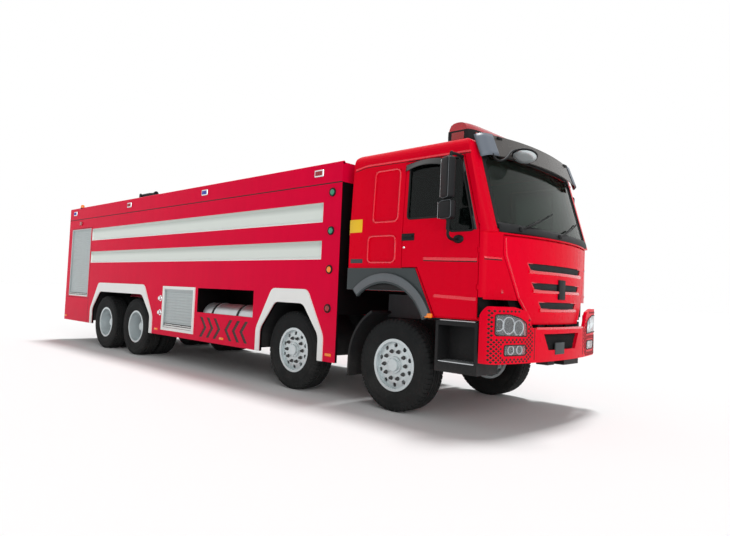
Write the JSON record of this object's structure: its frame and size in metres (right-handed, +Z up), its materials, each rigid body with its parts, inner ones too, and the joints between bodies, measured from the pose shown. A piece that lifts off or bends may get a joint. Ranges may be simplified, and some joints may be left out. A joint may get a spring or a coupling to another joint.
{
  "type": "foam fire truck",
  "caption": "Eight-wheeled foam fire truck: tilting cab with hinged doors and front panel, closed tank body with shutters, roof monitor.",
  "frame": {"origin": "on the ground under the middle of the overall box", "axes": "+X forward along the truck, +Y to its left, +Z up"},
  "size_m": [11.54, 2.9684, 3.4764],
  "materials": {
    "red_paint": "gloss red paint",
    "white_paint": "gloss white paint",
    "black_steel": "black chassis paint",
    "engine_grey": "grey engine paint",
    "cast_iron": "painted forging",
    "wheel_silver": "silver wheel paint",
    "tyre": "road tyre",
    "black_plastic": "moulded black plastic",
    "grey_plastic": "moulded dark grey plastic",
    "visor_plastic": "smoked plastic",
    "lamp_lens": "coloured lamp lens",
    "beacon_lens": "red beacon lens",
    "lamp_glass": "clear lamp lens",
    "glass": "tinted safety glass",
    "shutter_alu": "anodised slats",
    "silver_steel": "bright steel",
    "deck_plate": "tread plate",
    "seat_cloth": "dark seat cloth"
  },
  "bodies": {
    "chassis": {"frame_rails": "black_steel", "front_axles": "cast_iron", "rear_axles": "cast_iron", "leaf_springs": "black_steel", "prop_shafts": "black_steel", "engine": "engine_grey", "front_bumper": "red_paint", "head_lamps": "lamp_glass", "cab_steps": "black_plastic", "mudguards": "black_plastic", "water_tank": "red_paint", "body_side_right": "red_paint", "body_side_left": "red_paint", "body_walls": "red_paint", "roof_deck": "deck_plate", "parapets": "red_paint", "white_trim": "white_paint", "roller_shutters": "shutter_alu", "body_lamps": "lamp_lens", "air_tanks": "silver_steel", "rear_ladder": "silver_steel", "monitor_base": "red_paint"},
    "monitor_swivel": {"monitor_swivel": "black_steel"},
    "monitor_barrel": {"monitor_barrel": "black_steel"},
    "cab": {"cab_shell": "red_paint", "windscreen": "glass", "sun_visor": "visor_plastic", "light_bar": "beacon_lens", "dashboard": "grey_plastic", "seats": "seat_cloth", "cab_flares": "grey_plastic"},
    "front_flap": {"front_flap": "red_paint", "grille_mesh": "black_plastic"},
    "door_right": {"door_right": "red_paint", "door_glass_right": "glass", "mirrors_right": "black_plastic"},
    "door_left": {"door_left": "red_paint", "door_glass_left": "glass", "mirrors_left": "black_plastic"},
    "steer_1r": {"knuckle_1r": "cast_iron"},
    "wheel_1r": {"rim_1r": "wheel_silver", "tyre_1r": "tyre"},
    "steer_1l": {"knuckle_1l": "cast_iron"},
    "wheel_1l": {"rim_1l": "wheel_silver", "tyre_1l": "tyre"},
    "steer_2r": {"knuckle_2r": "cast_iron"},
    "wheel_2r": {"rim_2r": "wheel_silver", "tyre_2r": "tyre"},
    "steer_2l": {"knuckle_2l": "cast_iron"},
    "wheel_2l": {"rim_2l": "wheel_silver", "tyre_2l": "tyre"},
    "wheel_3r": {"rims_3r": "wheel_silver", "tyres_3r": "tyre"},
    "wheel_3l": {"rims_3l": "wheel_silver", "tyres_3l": "tyre"},
    "wheel_4r": {"rims_4r": "wheel_silver", "tyres_4r": "tyre"},
    "wheel_4l": {"rims_4l": "wheel_silver", "tyres_4l": "tyre"}
  },
  "joints": [
    {"name": "cab_tilt", "type": "hinge", "parent": "chassis", "child": "cab", "pos_m": [5.655, 0, 1.075], "axis": [0, 1, 0], "range_deg": [0, 50]},
    {"name": "door_right_open", "type": "hinge", "parent": "cab", "child": "door_right", "pos_m": [5.402, -1.20939, 1.61], "axis": [0, 0, 1], "range_deg": [0, 70]},
    {"name": "door_left_open", "type": "hinge", "parent": "cab", "child": "door_left", "pos_m": [5.402, 1.20939, 1.61], "axis": [0, 0, -1], "range_deg": [0, 70]},
    {"name": "front_flap_open", "type": "hinge", "parent": "cab", "child": "front_flap", "pos_m": [5.705, 0, 1.968], "axis": [0, -1, 0], "range_deg": [0, 60]},
    {"name": "monitor_pan", "type": "hinge", "parent": "chassis", "child": "monitor_swivel", "pos_m": [-4.68, 0, 3.2], "axis": [0, 0, 1], "range_deg": [-170, 170]},
    {"name": "monitor_tilt", "type": "hinge", "parent": "monitor_swivel", "child": "monitor_barrel", "pos_m": [-4.68, 0, 3.417], "axis": [0, -1, 0], "range_deg": [-15, 70]},
    {"name": "steer_1r", "type": "hinge", "parent": "chassis", "child": "steer_1r", "pos_m": [4.27, -0.905, 0.53], "axis": [0, 0, 1], "range_deg": [-36, 36]},
    {"name": "wheel_1r", "type": "hinge", "parent": "steer_1r", "child": "wheel_1r", "pos_m": [4.27, -1.011, 0.53], "axis": [0, 1, 0], "continuous": true},
    {"name": "steer_1l", "type": "hinge", "parent": "chassis", "child": "steer_1l", "pos_m": [4.27, 0.905, 0.53], "axis": [0, 0, 1], "range_deg": [-36, 36]},
    {"name": "wheel_1l", "type": "hinge", "parent": "steer_1l", "child": "wheel_1l", "pos_m": [4.27, 1.011, 0.53], "axis": [0, 1, 0], "continuous": true},
    {"name": "steer_2r", "type": "hinge", "parent": "chassis", "child": "steer_2r", "pos_m": [2.47, -0.905, 0.53], "axis": [0, 0, 1], "range_deg": [-25.2, 25.2]},
    {"name": "wheel_2r", "type": "hinge", "parent": "steer_2r", "child": "wheel_2r", "pos_m": [2.47, -1.011, 0.53], "axis": [0, 1, 0], "continuous": true},
    {"name": "steer_2l", "type": "hinge", "parent": "chassis", "child": "steer_2l", "pos_m": [2.47, 0.905, 0.53], "axis": [0, 0, 1], "range_deg": [-25.2, 25.2]},
    {"name": "wheel_2l", "type": "hinge", "parent": "steer_2l", "child": "wheel_2l", "pos_m": [2.47, 1.011, 0.53], "axis": [0, 1, 0], "continuous": true},
    {"name": "wheel_3r", "type": "hinge", "parent": "chassis", "child": "wheel_3r", "pos_m": [-2.12, -0.915, 0.53], "axis": [0, 1, 0], "continuous": true},
    {"name": "wheel_3l", "type": "hinge", "parent": "chassis", "child": "wheel_3l", "pos_m": [-2.12, 0.915, 0.53], "axis": [0, 1, 0], "continuous": true},
    {"name": "wheel_4r", "type": "hinge", "parent": "chassis", "child": "wheel_4r", "pos_m": [-3.47, -0.915, 0.53], "axis": [0, 1, 0], "continuous": true},
    {"name": "wheel_4l", "type": "hinge", "parent": "chassis", "child": "wheel_4l", "pos_m": [-3.47, 0.915, 0.53], "axis": [0, 1, 0], "continuous": true}
  ],
  "couplings": [
    {"joint": "steer_1l", "follows": "steer_1r", "ratio": 1},
    {"joint": "steer_2r", "follows": "steer_1r", "ratio": 0.7},
    {"joint": "steer_2l", "follows": "steer_1r", "ratio": 0.7}
  ]
}
